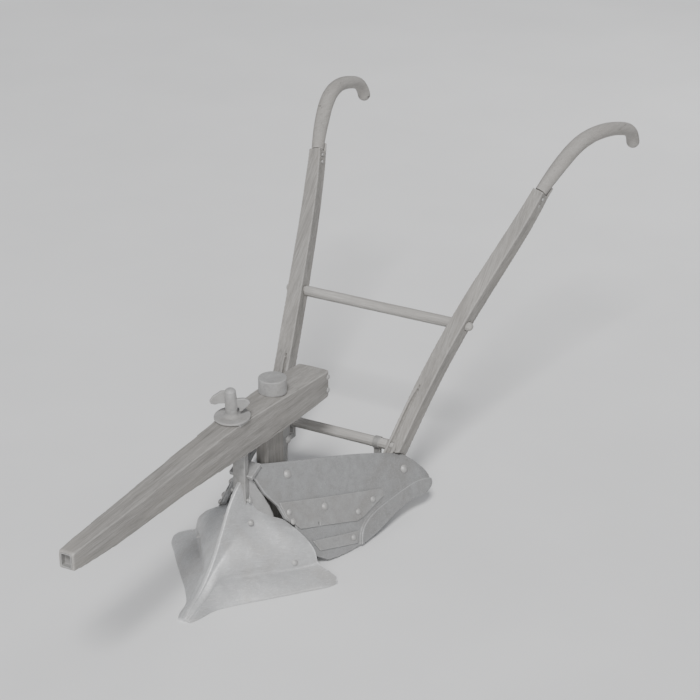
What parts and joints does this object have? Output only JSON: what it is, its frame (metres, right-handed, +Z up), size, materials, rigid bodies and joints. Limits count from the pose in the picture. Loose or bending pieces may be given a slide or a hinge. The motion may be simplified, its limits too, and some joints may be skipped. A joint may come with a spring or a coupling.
{
  "type": "walking plow",
  "caption": "Wooden-beam walking plow with a symmetric ridging share, two mouldboards, bent-grip handles and a wing-nut adjuster.",
  "frame": {"origin": "on the ground, on the sole runner's underside, in the plow's middle plane and under the centre of the main post", "axes": "+X to the ploughman's left, +Y to the rear towards the handles, +Z up; the plow works towards -Y"},
  "size_m": [0.8176, 2.0045, 0.7938],
  "materials": {
    "weathered_wood": "weathered, dry grain",
    "forged_steel": "worn and dull",
    "wrought_iron": "forged, dull",
    "cast_iron": "sand cast, dull",
    "bolt_iron": "hammered, rubbed"
  },
  "bodies": {
    "plow": {"adjusting_rod": "wrought_iron", "beam": "weathered_wood", "beam_rear_bolts": "bolt_iron", "board_bolts_left": "bolt_iron", "board_bolts_right": "bolt_iron", "cross_stay": "cast_iron", "draft_socket": "wrought_iron", "frog": "cast_iron", "front_bar": "wrought_iron", "front_bar_bolts": "bolt_iron", "grip_left": "weathered_wood", "grip_right": "weathered_wood", "grip_rivets_left": "bolt_iron", "grip_rivets_right": "bolt_iron", "handle_left": "weathered_wood", "handle_right": "weathered_wood", "lower_rung": "weathered_wood", "main_post": "weathered_wood", "mouldboard_left": "forged_steel", "mouldboard_right": "forged_steel", "neck_plate": "wrought_iron", "plate_bolts_left": "bolt_iron", "plate_bolts_right": "bolt_iron", "post_cap_bolt": "bolt_iron", "post_strap": "wrought_iron", "post_strap_bolt": "bolt_iron", "rod_seat": "wrought_iron", "rung_bracket_left": "wrought_iron", "rung_bracket_right": "wrought_iron", "share": "forged_steel", "share_bolts": "bolt_iron", "sole_runner": "cast_iron", "throat_plate": "cast_iron", "upper_rung": "weathered_wood", "wear_plate_left": "forged_steel", "wear_plate_right": "forged_steel", "wear_strip_left": "forged_steel", "wear_strip_right": "forged_steel"},
    "collar": {"flanged_collar": "wrought_iron"},
    "nut": {"wing_nut": "wrought_iron"}
  },
  "joints": [
    {"name": "collar_lift", "type": "slide", "parent": "plow", "child": "collar", "axis": [0, -0.0872, 0.9962], "range_m": [0, 0.0181]},
    {"name": "wing_nut_turn", "type": "hinge", "parent": "collar", "child": "nut", "pos_m": [0, -0.161, 0.4], "axis": [0, -0.0872, 0.9962], "range_deg": [0, 1080]}
  ],
  "couplings": [
    {"joint": "collar_lift", "follows": "wing_nut_turn", "m_per_rad": 0.00095493}
  ]
}
